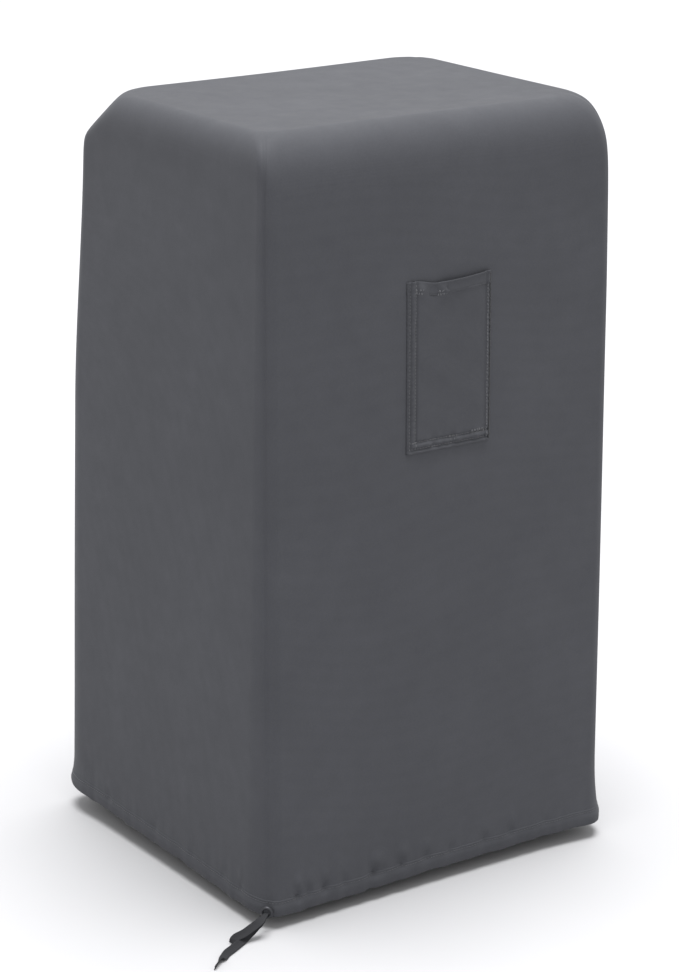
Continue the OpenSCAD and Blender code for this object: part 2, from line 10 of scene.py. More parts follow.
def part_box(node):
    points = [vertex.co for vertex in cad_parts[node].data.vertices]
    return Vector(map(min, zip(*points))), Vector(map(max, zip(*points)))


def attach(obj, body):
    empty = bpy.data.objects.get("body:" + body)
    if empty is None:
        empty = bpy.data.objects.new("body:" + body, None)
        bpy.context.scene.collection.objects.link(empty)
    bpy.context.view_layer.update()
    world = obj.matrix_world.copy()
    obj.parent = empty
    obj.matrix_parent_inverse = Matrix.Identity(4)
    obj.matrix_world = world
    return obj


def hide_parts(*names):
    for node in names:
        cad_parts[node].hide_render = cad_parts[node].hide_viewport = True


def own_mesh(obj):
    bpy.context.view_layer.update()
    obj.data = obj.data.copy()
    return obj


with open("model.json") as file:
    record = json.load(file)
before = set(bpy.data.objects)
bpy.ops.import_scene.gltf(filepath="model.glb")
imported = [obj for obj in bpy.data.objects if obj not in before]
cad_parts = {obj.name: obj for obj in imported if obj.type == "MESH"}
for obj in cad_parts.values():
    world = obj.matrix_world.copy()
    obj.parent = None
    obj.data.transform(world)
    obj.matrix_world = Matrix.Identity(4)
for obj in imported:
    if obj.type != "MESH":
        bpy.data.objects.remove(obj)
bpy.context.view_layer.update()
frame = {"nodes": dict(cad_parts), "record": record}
nodes = frame["nodes"]
MM = 0.001

# ---- Camera ----


def place_camera(aim, azimuth, pitch, roll, distance, rise, lens):
    """A camera at the given angles round aim, moved up its own frame by rise."""
    azimuth, pitch, roll = (math.radians(a) for a in (azimuth, pitch, roll))
    back = Vector((math.sin(azimuth) * math.cos(pitch),
                   -math.cos(azimuth) * math.cos(pitch), math.sin(pitch)))
    right = Vector((0, 0, 1)).cross(back).normalized()
    up = back.cross(right)
    across = right * math.cos(roll) + up * math.sin(roll)
    upright = up * math.cos(roll) - right * math.sin(roll)
    data = bpy.data.cameras.new("camera")
    data.sensor_fit = "VERTICAL"
    data.sensor_height = 36
    data.lens = lens
    data.clip_end = 60
    camera = bpy.data.objects.new("camera", data)
    bpy.context.scene.collection.objects.link(camera)
    camera.matrix_world = Matrix.Translation(Vector(aim) + back * distance + up * rise) @ (
        Matrix((across, upright, back)).transposed().to_4x4())
    bpy.context.scene.camera = camera


place_camera(aim=(0, 0, 0.439), azimuth=-35.12, pitch=17.95, roll=0.88,
             distance=3.184, rise=-0.029, lens=104.26)
bpy.context.scene.view_settings.view_transform = "Standard"

# ---- Meshes ----


def unit(v):
    return v / np.maximum(np.linalg.norm(v, axis=-1, keepdims=True), 1e-12)


def add_mesh(name, points, faces, body, slot, look, smooth=True, uv=None):
    """A mesh object with the given material, which rides on a CAD body."""
    mesh = bpy.data.meshes.new(name)
    mesh.from_pydata([tuple(p) for p in np.asarray(points, float)], [], faces)
    mesh.validate()
    if uv is not None:
        layer = mesh.uv_layers.new(name="lay")
        corner = np.empty(len(mesh.loops), np.int64)
        mesh.loops.foreach_get("vertex_index", corner)
        layer.data.foreach_set("uv", np.asarray(uv, float)[corner].ravel())
    if smooth:
        mesh.polygons.foreach_set("use_smooth", [True] * len(mesh.polygons))
    obj = bpy.data.objects.new(name, mesh)
    bpy.context.scene.collection.objects.link(obj)
    mesh.materials.append(look)
    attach(obj, body)
    return obj


def grid_faces(rows, columns, closed=False, start=0):
    """Quads between rows of points, whose rows run round in a ring when closed."""
    span = columns if closed else columns - 1
    return [(start + r * columns + c, start + r * columns + (c + 1) % columns,
             start + (r + 1) * columns + (c + 1) % columns, start + (r + 1) * columns + c)
            for r in range(rows - 1) for c in range(span)]


def settle(obj):
    """Applies the object's modifiers to its mesh."""
    bpy.context.view_layer.update()
    depsgraph = bpy.context.evaluated_depsgraph_get()
    mesh = bpy.data.meshes.new_from_object(obj.evaluated_get(depsgraph), depsgraph=depsgraph)
    obj.modifiers.clear()
    obj.data = mesh
    return obj


def thicken(obj, thickness):
    """Gives a surface a thickness, on its inner side."""
    modifier = obj.modifiers.new("thickness", "SOLIDIFY")
    modifier.thickness = thickness
    modifier.offset = -1.0
    modifier.use_even_offset = True
    return settle(obj)


def smooth_path(points, steps):
    """Catmull-Rom curve through the points, with steps pieces between each two."""
    p = np.asarray(points, float)
    p = np.vstack([2 * p[0] - p[1], p, 2 * p[-1] - p[-2]])
    out = []
    for i in range(1, len(p) - 2):
        a, b, c, d = p[i - 1:i + 3]
        for t in np.arange(steps) / steps:
            out.append(0.5 * (2 * b + (c - a) * t + (2 * a - 5 * b + 4 * c - d) * t ** 2
                              + (3 * b - a - 3 * c + d) * t ** 3))
    out.append(p[-2])
    return np.array(out)


def length_along(points):
    steps = np.linalg.norm(np.diff(points, axis=0), axis=1)
    return np.concatenate([[0], np.cumsum(steps)])


# ---- Drawcord ends: flat ribbon on the routes of the CAD solids ----

RIBBON_W, RIBBON_T = 9 * MM, 1.0 * MM
RIBBON_STEPS = 4
SHORT_ROUTE = [
    [-232, -206, 22.5], [-235.5, -208.8, 22.6], [-239.5, -211.5, 22], [-243.3, -213.6, 21],
    [-247.5, -214.8, 19.8], [-251.7, -215.1, 18], [-255.3, -214.9, 16.4], [-258.8, -214.5, 14.8],
    [-262, -214.3, 13.2], [-265, -214, 11.8], [-268, -213.3, 10.5], [-271, -212.4, 9.3],
    [-274, -211.4, 8], [-276.6, -210.8, 6.2], [-278, -210.9, 3.8], [-278.9, -211, 1.6],
]
LONG_ROUTE = [
    [-232, -206, 21.4], [-235.6, -208.8, 20.8], [-239.5, -210.8, 19.2], [-243, -211.6, 17],
    [-246.5, -211.6, 14.6], [-250, -211, 11.6], [-254, -210.6, 8.6], [-258.5, -211, 6.2],
    [-263.5, -212.8, 4.6], [-269, -215.3, 3.6], [-275, -218.4, 2.8], [-282, -222, 2.4],
    [-290, -225.8, 2.2], [-298.5, -229.8, 2], [-306.5, -235, 2], [-313.5, -240.2, 2],
    [-320, -245.2, 2], [-325.5, -249.5, 2],
]


def ribbon(name, route, widths, turns, node):
    """A flat ribbon along a route. widths and turns are pairs of a place along it, from 0 to 1,
    and a share of the full width or a twist in degrees."""
    path = smooth_path(np.array(route) * MM, RIBBON_STEPS)
    run = length_along(path)
    share = run / run[-1]
    half = RIBBON_W / 2 * np.interp(share, *zip(*widths))
    turn = np.radians(np.interp(share, *zip(*turns)))
    path[:, 2] = np.maximum(path[:, 2], half * np.abs(np.sin(turn)) + RIBBON_T * 0.7)
    length = float(length_along(path)[-1])
    along = unit(np.gradient(path, axis=0))
    level = unit(np.cross(along, [0, 0, 1.0]))
    face = unit(np.cross(level, along))
    side = level * np.cos(turn)[:, None] + face * np.sin(turn)[:, None]
    front = unit(np.cross(side, along))
    # the cross-section, thicker along both edges: shares of the half width and half thickness
    across = np.array([1, .96, .8, .4, 0, -.4, -.8, -.96, -1, -.96, -.8, -.4, 0, .4, .8, .96])
    edge = np.array([0, .8, 1, .8, .72, .8, 1, .8, 0, -.8, -1, -.8, -.72, -.8, -1, -.8])
    count = len(across)
    points, uv = [], []
    for i in range(len(path)):
        for a, e in zip(across, edge):
            curl = 0.35 * MM * (a * a - 0.4)
            points.append(path[i] + side[i] * half[i] * a
                          + front[i] * (RIBBON_T / 2 * e + curl))
            uv.append((a * RIBBON_W / 2, share[i] * length))
    faces = grid_faces(len(path), count, closed=True)
    faces += [tuple(range(count))[::-1], tuple(range(len(points) - count, len(points)))]
    obj = add_mesh(name, points, faces, "cover", "ribbon", material("ribbon"), uv=uv)
    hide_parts(node)
    return obj


# ---- Materials ----


class Looks:
    """Builds one procedural material. All textures sit in the piece's own space, in metres."""

    def __init__(self, name):
        self.material = bpy.data.materials.new(name)
        self.material.use_nodes = True
        self.tree = self.material.node_tree
        self.shader = self.tree.nodes["Principled BSDF"]
        self.place = self.node("ShaderNodeTexCoord").outputs["Object"]

    def node(self, kind, inputs=(), **settings):
        made = self.tree.nodes.new(kind)
        for key, value in settings.items():
            setattr(made, key, value)
        for key, value in dict(inputs).items():
            self.put(made.inputs[key], value)
        return made

    def put(self, socket, value):
        if isinstance(value, bpy.types.NodeSocket):
            self.tree.links.new(value, socket)
        else:
            socket.default_value = value

    def maths(self, operation, a, b):
        return self.node("ShaderNodeMath", {0: a, 1: b}, operation=operation).outputs[0]

    def noise(self, scale, detail=3.0, stretch=None, rough=0.5):
        place = self.place
        if stretch:
            place = self.node("ShaderNodeMapping", {"Vector": place, "Scale": stretch}).outputs[0]
        return self.node("ShaderNodeTexNoise", {
            "Vector": place, "Scale": scale, "Detail": detail, "Roughness": rough}).outputs["Fac"]

    def wave(self, pitch, direction, vector=None, profile="SIN"):
        """Stripes of the given pitch in metres, from 0 to 1."""
        return self.node("ShaderNodeTexWave", {
            "Vector": vector or self.place, "Scale": 2 * math.pi / (20 * pitch), "Detail": 0.0},
            bands_direction=direction, wave_profile=profile).outputs["Fac"]

    def between(self, value, low, high, out_low, out_high):
        return self.node("ShaderNodeMapRange", {
            "Value": value, "From Min": low, "From Max": high,
            "To Min": out_low, "To Max": out_high}).outputs[0]

    def mix(self, share, a, b):
        made = self.node("ShaderNodeMix", data_type="RGBA")
        self.put(made.inputs[0], share)
        for socket, value in ((made.inputs[6], a), (made.inputs[7], b)):
            if isinstance(value, tuple):
                value = (*value, 1.0)[:4]
            self.put(socket, value)
        return made.outputs[2]

    def bump(self, height, distance, strength=1.0, over=None):
        inputs = {"Height": height, "Distance": distance, "Strength": strength}
        if over:
            inputs["Normal"] = over
        return self.node("ShaderNodeBump", inputs).outputs["Normal"]

    def done(self, colour, rough, normal=None, **constants):
        self.put(self.shader.inputs["Base Color"], colour)
        self.put(self.shader.inputs["Roughness"], rough)
        if normal:
            self.put(self.shader.inputs["Normal"], normal)
        for key, value in constants.items():
            self.shader.inputs[key.replace("_", " ")].default_value = value
        return self.material


def scaled(colour, factor):
    return tuple(c * factor for c in colour)


def woven(name, colour, pitch=0.5 * MM, depth=0.05 * MM, mottle=0.05, rough=0.72, sheen=0.05):
    """Coated woven polyester: fine crossing threads, darker in their valleys as painted shade,
    faint mottling and a soft sheen.
    """
    k = Looks(name)
    threads = k.maths("ADD", k.maths("ADD", k.wave(pitch, "X"), k.wave(pitch, "Y")),
                      k.wave(pitch, "Z"))
    slub = k.noise(1400, 2.0)
    grain = k.noise(520, 2.0, rough=0.7)
    blotch = k.noise(9.0, 3.0)
    cloud = k.noise(38.0, 4.0, rough=0.6)
    base = k.mix(k.between(blotch, 0.3, 0.7, 0.0, 1.0), scaled(colour, 1 - mottle),
                 scaled(colour, 1 + mottle))
    base = k.mix(k.between(cloud, 0.3, 0.7, 0.0, 0.5), base, scaled(colour, 1 - mottle * 1.3))
    # darker where the crossing threads dip: painted shade in the weave's valleys
    base = k.mix(k.between(threads, 0.3, 2.4, 0.16, 0.0), base, scaled(colour, 0.55))
    base = k.mix(k.between(slub, 0.35, 0.75, 0.0, 0.30), base, scaled(colour, 1.35))
    base = k.mix(k.between(grain, 0.35, 0.65, 0.0, 0.24), base, scaled(colour, 0.72))
    height = k.maths("ADD", threads, k.maths("MULTIPLY", slub, 0.8))
    normal = k.bump(height, depth, 0.22)
    normal = k.bump(k.noise(120.0, 3.0), 0.35 * MM, 0.10, over=normal)
    return k.done(base, k.between(cloud, 0.3, 0.7, rough - 0.05, rough + 0.06), normal,
                  Sheen_Weight=sheen, Sheen_Roughness=0.45, Specular_IOR_Level=0.2)


def ribbed_ribbon(name, colour):
    """Flat ribbon with fine ribs across it and a thicker thread along each edge."""
    k = Looks(name)
    lay = k.node("ShaderNodeTexCoord").outputs["UV"]
    ribs = k.wave(0.9 * MM, "Y", vector=lay)
    along = k.wave(0.8 * MM, "X", vector=lay)
    height = k.maths("ADD", ribs, k.maths("MULTIPLY", along, 0.35))
    fuzz = k.noise(900, 3.0)
    base = k.mix(k.between(ribs, 0.0, 1.0, 0.0, 1.0), scaled(colour, 0.7), scaled(colour, 1.25))
    base = k.mix(k.between(fuzz, 0.4, 0.8, 0.0, 0.3), base, scaled(colour, 1.8))
    normal = k.bump(height, 0.12 * MM, 0.8)
    return k.done(base, k.between(fuzz, 0.3, 0.7, 0.7, 0.85), normal, Specular_IOR_Level=0.2)


def twisted_thread(name, colour):
    k = Looks(name)
    ply = k.wave(0.55 * MM, "DIAGONAL")
    fuzz = k.noise(1600, 2.0)
    base = k.mix(k.between(ply, 0.2, 0.9, 0.0, 1.0), scaled(colour, 0.65), scaled(colour, 1.2))
    base = k.mix(k.between(fuzz, 0.3, 0.7, 0.0, 0.3), base, scaled(colour, 1.6))
    return k.done(base, k.between(fuzz, 0.3, 0.7, 0.45, 0.65), k.bump(ply, 0.08 * MM, 0.7),
                  Sheen_Weight=0.2)


def painted(name, colour, rough=0.5, orange_peel=0.06, dust=0.12):
    """Powder coat: fine orange peel, faint dust and rubbed patches."""
    k = Looks(name)
    peel = k.noise(420, 2.0)
    cloud = k.noise(7.0, 5.0, rough=0.62)
    speck = k.noise(1500, 1.0)
    base = k.mix(k.between(cloud, 0.35, 0.7, 0.0, dust), colour, scaled(colour, 2.1))
    base = k.mix(k.between(speck, 0.62, 0.72, 0.0, 0.35), base, scaled(colour, 1.9))
    return k.done(base, k.between(cloud, 0.3, 0.7, rough - 0.08, rough + 0.1),
                  k.bump(peel, orange_peel * MM, 0.7))


def brushed(name, colour, rough=0.3, stretch=(4, 700, 700), depth=0.02, stain=0.12):
    """Rolled or brushed metal: long fine scratches and uneven gloss."""
    k = Looks(name)
    lines = k.noise(1.0, 4.0, stretch=stretch, rough=0.7)
    cloud = k.noise(11.0, 4.0, rough=0.6)
    base = k.mix(k.between(cloud, 0.35, 0.75, 0.0, stain), colour, scaled(colour, 0.5))
    base = k.mix(k.between(lines, 0.3, 0.7, 0.0, 0.18), base, scaled(colour, 0.72))
    gloss = k.maths("ADD", k.between(lines, 0.3, 0.7, rough - 0.06, rough + 0.1),
                    k.between(cloud, 0.3, 0.7, -0.03, 0.06))
    return k.done(base, gloss, k.bump(lines, depth * MM, 0.6), Metallic=1.0)


def moulded(name, colour, rough=0.45, grain=0.05, scale=900, **constants):
    """Moulded plastic or rubber with a fine spark-eroded grain."""
    k = Looks(name)
    pits = k.noise(scale, 2.0)
    cloud = k.noise(14.0, 3.0)
    base = k.mix(k.between(cloud, 0.3, 0.7, 0.0, 1.0), scaled(colour, 0.9), scaled(colour, 1.12))
    base = k.mix(k.between(pits, 0.55, 0.75, 0.0, 0.25), base, scaled(colour, 1.5))
    return k.done(base, k.between(cloud, 0.3, 0.7, rough - 0.05, rough + 0.08),
                  k.bump(pits, grain * MM, 0.6), **constants)


def speckled_enamel(name, colour):
    """Black enamel with fine pale specks under a glassy coat."""
    k = Looks(name)
    cells = k.node("ShaderNodeTexVoronoi", {"Vector": k.place, "Scale": 330.0,
                                            "Randomness": 1.0}).outputs["Distance"]
    speck = k.between(cells, 0.10, 0.16, 1.0, 0.0)
    thin = k.maths("MULTIPLY", speck, k.between(k.noise(160, 2.0), 0.5, 0.62, 0.0, 0.9))
    base = k.mix(thin, colour, (0.55, 0.56, 0.58))
    flow = k.noise(60, 2.0)
    return k.done(base, k.between(flow, 0.3, 0.7, 0.1, 0.2), k.bump(flow, 0.12 * MM, 0.5),
                  Coat_Weight=0.6, Coat_Roughness=0.08)


def wool(name, colour):
    k = Looks(name)
    strands = k.noise(160, 6.0, stretch=(1, 1, 4), rough=0.7)
    base = k.mix(k.between(strands, 0.3, 0.7, 0.0, 1.0), scaled(colour, 0.6), scaled(colour, 1.2))
    return k.done(base, k.between(strands, 0.3, 0.7, 0.85, 0.98), k.bump(strands, 1.5 * MM, 1.0),
                  Sheen_Weight=0.3)


def smoked_glass(name, colour):
    k = Looks(name)
    smear = k.noise(22, 4.0, rough=0.65)
    base = k.mix(k.between(smear, 0.35, 0.7, 0.0, 1.0), colour, scaled(colour, 1.6))
    return k.done(base, k.between(smear, 0.3, 0.7, 0.05, 0.14), k.bump(smear, 0.02 * MM, 0.3),
                  Coat_Weight=1.0, Coat_Roughness=0.03)


def circuit(name, colour):
    k = Looks(name)
    across = k.wave(2.54 * MM, "X", profile="SAW")
    up = k.wave(2.54 * MM, "Z", profile="SAW")
    track = k.maths("MULTIPLY", k.between(across, 0.42, 0.5, 0.0, 1.0),
                    k.between(k.noise(240, 0.0), 0.45, 0.5, 0.0, 1.0))
    pad = k.maths("MULTIPLY", k.between(across, 0.8, 0.9, 0.0, 1.0),
                  k.between(up, 0.8, 0.9, 0.0, 1.0))
    base = k.mix(track, colour, scaled(colour, 2.2))
    base = k.mix(pad, base, (0.6, 0.55, 0.4))
    return k.done(base, k.between(pad, 0.0, 1.0, 0.4, 0.2), k.bump(track, 0.04 * MM, 0.5))


CLOTH = (0.0580, 0.0598, 0.0677)
RECIPES = {
    "cloth": lambda n: woven(n, CLOTH, mottle=0.065),
    "trim": lambda n: woven(n, scaled(CLOTH, 0.95)),
    "ribbon": lambda n: ribbed_ribbon(n, (0.022, 0.0225, 0.025)),
    "thread": lambda n: twisted_thread(n, (0.125, 0.127, 0.135)),
    "dark_thread": lambda n: twisted_thread(n, (0.052, 0.054, 0.060)),
    # near-black thread for the pocket's right edge, which paints the shadow line beside that edge
    "rim_thread": lambda n: twisted_thread(n, (0.024, 0.025, 0.028)),
    "eyelet_metal": lambda n: brushed(n, (0.065, 0.066, 0.072), 0.4, (60, 60, 60), 0.01),
    "powder_coat": lambda n: painted(n, (0.017, 0.0175, 0.019)),
    "stainless": lambda n: brushed(n, (0.62, 0.62, 0.61), 0.27),
    "zinc": lambda n: brushed(n, (0.56, 0.58, 0.60), 0.38, (40, 40, 40), 0.015),
    "chrome_wire": lambda n: brushed(n, (0.72, 0.72, 0.73), 0.16, (30, 30, 30), 0.004, 0.2),
    "enamel": lambda n: speckled_enamel(n, (0.010, 0.010, 0.013)),
    "element_sheath": lambda n: brushed(n, (0.20, 0.17, 0.15), 0.5, (90, 90, 90), 0.02, 0.5),
    "mineral_wool": lambda n: wool(n, (0.55, 0.47, 0.28)),
    "black_plastic": lambda n: moulded(n, (0.013, 0.0135, 0.015), 0.42),
    "white_plastic": lambda n: moulded(n, (0.74, 0.73, 0.69), 0.4, 0.02),
    "button_plastic": lambda n: moulded(n, (0.045, 0.046, 0.050), 0.5, 0.04),
    "board": lambda n: circuit(n, (0.012, 0.075, 0.03)),
    "display_glass": lambda n: smoked_glass(n, (0.006, 0.007, 0.010)),
    "lit_segment": lambda n: moulded(n, (0.65, 0.10, 0.03), 0.4, 0.01,
                                     Emission_Color=(1.0, 0.16, 0.03, 1.0),
                                     Emission_Strength=1.6),
    "mark_print": lambda n: moulded(n, (0.62, 0.62, 0.60), 0.55, 0.01),
    "foot_rubber": lambda n: moulded(n, (0.016, 0.016, 0.016), 0.75, 0.09, 700),
    "gasket_rubber": lambda n: moulded(n, (0.020, 0.019, 0.018), 0.68, 0.06, 800),
}
made_materials = {}


def material(name):
    if name not in made_materials:
        made_materials[name] = RECIPES[name](name)
    return made_materials[name]


tails = [
    ribbon("drawcord_end_short", SHORT_ROUTE,
           widths=[(0, .55), (.12, .62), (.3, 1), (1, 1)],
           turns=[(0, 0), (.15, 15), (.4, 46), (.85, 50), (1, 10)],
           node="drawcord_tail_short"),
    ribbon("drawcord_end_long", LONG_ROUTE,
           widths=[(0, .55), (.06, .62), (.15, 1), (.78, 1), (.84, .8), (1, .5)],
           turns=[(0, 0), (.1, 20), (.25, 42), (.68, 40), (.78, 5), (.85, -66), (1, -78)],
           node="drawcord_tail_long"),
]

# ---- The cover's shape: one skin, as a function of height and place round the hem ----

# Corners and their sizes go round from the front left: front right, back right, back left.

HALF_W, HALF_D = 228 * MM, 187 * MM
HEM_Z, TOP_Z = 16 * MM, 858 * MM
BEND_Z = 813 * MM                   # below it the walls flare out, by this much at the hem:
FLARE_X, FLARE_Y = 7 * MM, 22 * MM
ROLL_UP_X, ROLL_UP_Y = 48 * MM, 76 * MM     # height of the roll over the sides and the front
ROLL_EASE = 2.3
CORNER_R = np.array([15, 18, 20, 20]) * MM
TOP_CORNER_R = np.array([24, 50, 44, 62]) * MM
STITCH_Z = HEM_Z + 16 * MM
SKIN_BOTTOM = HEM_Z + 11 * MM
CLOTH_T, CASING_T = 0.8 * MM, 0.7 * MM
HEM_TILT, HEM_TILT_Y = 0.027, -150 * MM     # the hem rises backwards from here
ARC, FRONT, SIDE = 14, 150, 112             # mesh steps in half a corner, a front and a side
FINE_STEP, FINE_TOP = 2.5 * MM, 100 * MM    # rows are this close up to this height
FOOT_TOP = 100 * MM                         # the hem's own rise and fall fades out up to here
WALL_ROWS, ROLL_ROWS = 92, 27
TOP_SAG = 1.6 * MM


def graded(count, ease=0.6):
    """0 to 1 in count steps that are shorter near both ends."""
    t = np.arange(count + 1) / count
    return t - ease / (2 * math.pi) * np.sin(2 * math.pi * t)


def outline(half_x, half_y, radii):
    """Points and outward normals round the plan, from the middle of the front left corner."""
    points, normals = [], []
    corners = [(-1, -1, 225), (1, -1, 315), (1, 1, 45), (-1, 1, 135)]
    for i, steps in enumerate((FRONT, SIDE, FRONT, SIDE)):
        ends = []
        for at, turn in ((i, 1), ((i + 1) % 4, -1)):
            cx, cy, angle = corners[at]
            mid = np.array([cx * (half_x - radii[at]), cy * (half_y - radii[at])])
            angles = np.radians(angle + turn * 45 * np.arange(ARC + 1) / ARC)
            n = np.stack([np.cos(angles), np.sin(angles)], 1)
            ends.append((mid + radii[at] * n, n))
        (p0, n0), (p1, n1) = ends[0], (ends[1][0][::-1], ends[1][1][::-1])
        t = graded(steps)[1:-1, None]
        points += [p0, p0[-1] * (1 - t) + p1[0] * t, p1[:-1]]
        normals += [n0, np.repeat(n0[-1:], len(t), 0), n1[:-1]]
    return np.vstack(points), np.vstack(normals)


COLUMNS = 2 * (FRONT + SIDE) + 8 * ARC
CORNER_COLUMNS = [0, FRONT + 2 * ARC, FRONT + SIDE + 4 * ARC, 2 * FRONT + SIDE + 6 * ARC]
RING, NORMAL = outline(HALF_W, HALF_D, CORNER_R)
FLARE = NORMAL * np.array([FLARE_X, FLARE_Y])
around = length_along(np.vstack([RING, RING[:1]]))
ROUND, GIRTH = around[:-1], around[-1]
TURN = 2 * math.pi * ROUND / GIRTH


def from_corner(i):
    """Signed distance round the plan from corner i."""
    d = ROUND - ROUND[CORNER_COLUMNS[i]]
    return (d + GIRTH / 2) % GIRTH - GIRTH / 2


def flare(z):
    """Share of the flare at height z."""
    return np.clip((BEND_Z - z) / (BEND_Z - HEM_Z), 0, 1.02)


def bell(d, width):
    """1 at d = 0, fading over width on both sides."""
    return np.exp(-(d / width) ** 2)


def ease(value, start, end):
    """0 at start, 1 at end, smooth between."""
    t = np.clip((value - start) / (end - start), 0, 1)
    return t * t * (3 - 2 * t)


def swell(p):
    """Slow, shallow unevenness of hanging cloth."""
    x, y, z = p[..., 0], p[..., 1], p[..., 2]
    return MM * (0.5 * np.sin(9.1 * x + 4.3 * z + 0.7) * np.sin(6.7 * z - 5.1 * y + 1.9)
                 + 0.25 * np.sin(17 * x - 13 * y + 5.3 * z + 2.2))


# Where the top sags at the back left and front right corners: the outward normal of the slope,
# its distance from the origin, and how softly it meets the rest.
SLOPES = ((np.array([-0.579, 0.475, 0.663]), 0.7480, 3.5 * MM),
          (np.array([0.737, -0.522, 0.429]), 0.6115, 7.0 * MM))


def lean(p):
    """The cover stands a little askew: its back left and front right edges lean, the hem rises
    at them, the top tilts, and two slopes cut its corners."""
    x, y, z = p[..., 0] / HALF_W, p[..., 1] / HALF_D, p[..., 2]
    back_left, front_right, back_right = (
        np.clip((1 + side * x) * (1 + rear * y) / 4, 0, 1.2)
        for side, rear in ((-1, 1), (1, -1), (1, 1)))
    # shares of each movement at height z, in metres
    low, high = ease(z, 0.82, 0.50), ease(z, 0.80, 0.62)
    foot, upper = ease(z, FOOT_TOP, HEM_Z), ease(z, 0.55, 0.80)
    p[..., 0] += MM * (front_right * 2.3 * high - back_left * 10.0 * low)
    p[..., 1] += MM * back_left * 2.5 * low
    p[..., 2] += MM * foot * (front_right * 4.0 + back_left * 1.0)
    p[..., 2] += MM * upper * (4.5 * front_right + 2.5 * back_right - 4.5 * back_left)
    for normal, reach, soft in SLOPES:
        over = p @ normal - reach
        p -= np.logaddexp(0, over / soft)[..., None] * soft * normal
    return p


def seams(z):
    """Ridge and groove of the sewn edge at each corner."""
    total = 0
    for i, side in enumerate((1, -1, 1, -1)):
        d = from_corner(i) - side * 3.5 * MM * (flare(z) - 0.35)
        total = total + MM * (0.35 * bell(d + 3.4 * MM, 2.6 * MM) - 1.2 * bell(d, 1.6 * MM)
                              + 0.3 * bell(d - 3.2 * MM, 2.4 * MM))
    return total


# Puckers at the hem: millimetres round from the front left corner, and depth.
CREASES = ((32, 1.7), (46, 0.7), (67, 1.4), (92, 0.6), (133, 1.9), (143, 0.8), (170, 1.5),
           (203, 1.0), (236, 0.6), (285, 0.9), (322, 0.9), (371, 0.4), (-24, 0.5), (-58, 0.4),
           (-120, 0.4), (-196, 0.5), (-290, 0.5))


def gathers(z):
    """Puckers that the drawcord pulls into the cloth, fading upwards, and two corners that
    stand out at the hem."""
    level = z - STITCH_Z
    up = np.maximum(level, 0)
    packed = 0.3 + 0.7 * bell(from_corner(0) - 110 * MM, 100 * MM)
    waves = (np.sin(61 * TURN + 1.3 * np.sin(7 * TURN))
             + 0.7 * np.sin(97 * TURN + 2 * np.sin(5 * TURN)) + 0.6 * np.sin(37 * TURN + 1))
    total = 0.62 * bell(up, 30 * MM) * packed * waves
    for place, depth in CREASES:
        across = bell(from_corner(0) - place * MM, 4.2 * MM)
        total = total + depth * across * (0.9 * bell(up - 19 * MM, 8 * MM)
                                          - 2.2 * bell(level - 3 * MM, 7 * MM))
    back_left = bell(from_corner(3), 34 * MM) * ease(z, 55 * MM, 18 * MM)
    d = from_corner(1)
    kick = np.clip((105 * MM - z) / (88 * MM), 0, 1) ** 2.2
    front_right = kick * np.where(d < 0, bell(d, 52 * MM), bell(d, 12 * MM))
    return MM * (total + 2.6 * back_left + 6.5 * front_right)


def hem_drop(z):
    """How the hem's own line rises and falls."""
    near_hem = np.clip(1 - (z - HEM_Z) / FOOT_TOP, 0, 1) ** 2
    return MM * near_hem * (0.35 * np.sin(9 * TURN + 0.4) + 0.4 * np.sin(23 * TURN + 2.0)
                            + 0.35 * np.sin(41 * TURN) + 0.2 * np.sin(67 * TURN + 1))


def wall_row(z, out=0.0):
    """One ring of points round the wall at height z, moved outwards by out."""
    z = np.broadcast_to(np.asarray(z, float), (COLUMNS,))
    share = flare(z)
    p = np.column_stack([RING + FLARE * share[:, None], z])
    push = out + swell(p) + seams(z) + gathers(z)
    p[:, :2] += NORMAL * push[:, None]
    p[:, 2] += share * HEM_TILT * (p[:, 1] - HEM_TILT_Y) + hem_drop(z)
    return lean(p)


def roll_profile(steps=400):
    """The roll between wall and top: normal's angle, way in and way up, from shoulder to top."""
    t = (np.arange(steps) + 0.5) / steps
    angle = math.pi / 2 * t ** ROLL_EASE
    inward, upward = np.cumsum(np.sin(angle)), np.cumsum(np.cos(angle))
    return angle, inward / upward[-1], upward / upward[-1]


ROLL_ANGLE, ROLL_INWARD, ROLL_UPWARD = roll_profile()
ROLL_IN_X, ROLL_IN_Y = (up * ROLL_INWARD[-1] for up in (ROLL_UP_X, ROLL_UP_Y))
ROLL_UP = ROLL_UP_X * NORMAL[:, 0] ** 2 + ROLL_UP_Y * NORMAL[:, 1] ** 2


def roll_row(t):
    """One ring on the roll, t from 0 at the shoulder to 1 at the top."""
    i = min(int(t * len(ROLL_ANGLE)), len(ROLL_ANGLE) - 1)
    inward, upward = ROLL_INWARD[i], ROLL_UPWARD[i]
    angle = math.pi / 2 if t >= 1 else ROLL_ANGLE[i]
    turn = inward / ROLL_INWARD[-1]
    z = TOP_Z - ROLL_UP * (1 - upward)
    plan, normal = outline(HALF_W - ROLL_UP_X * inward, HALF_D - ROLL_UP_Y * inward,
                           CORNER_R + (TOP_CORNER_R - CORNER_R) * turn)
    share = flare(z)
    p = np.column_stack([plan + FLARE * share[:, None], z])
    push = swell(p) + seams(z) * math.cos(angle)
    p[:, :2] += normal * (push * math.cos(angle))[:, None]
    p[:, 2] += push * math.sin(angle) + share * HEM_TILT * (p[:, 1] - HEM_TILT_Y)
    return lean(p)


def four_sides(ring):
    """The front, right, back and left runs of a ring, between its corners. The first and third
    both run to the right, and the others to the back."""
    a, b, c, d = CORNER_COLUMNS
    loop = np.concatenate([ring, ring[:1]])
    return loop[a:b + 1], loop[b:c + 1], loop[c:d + 1][::-1], loop[d:][::-1]


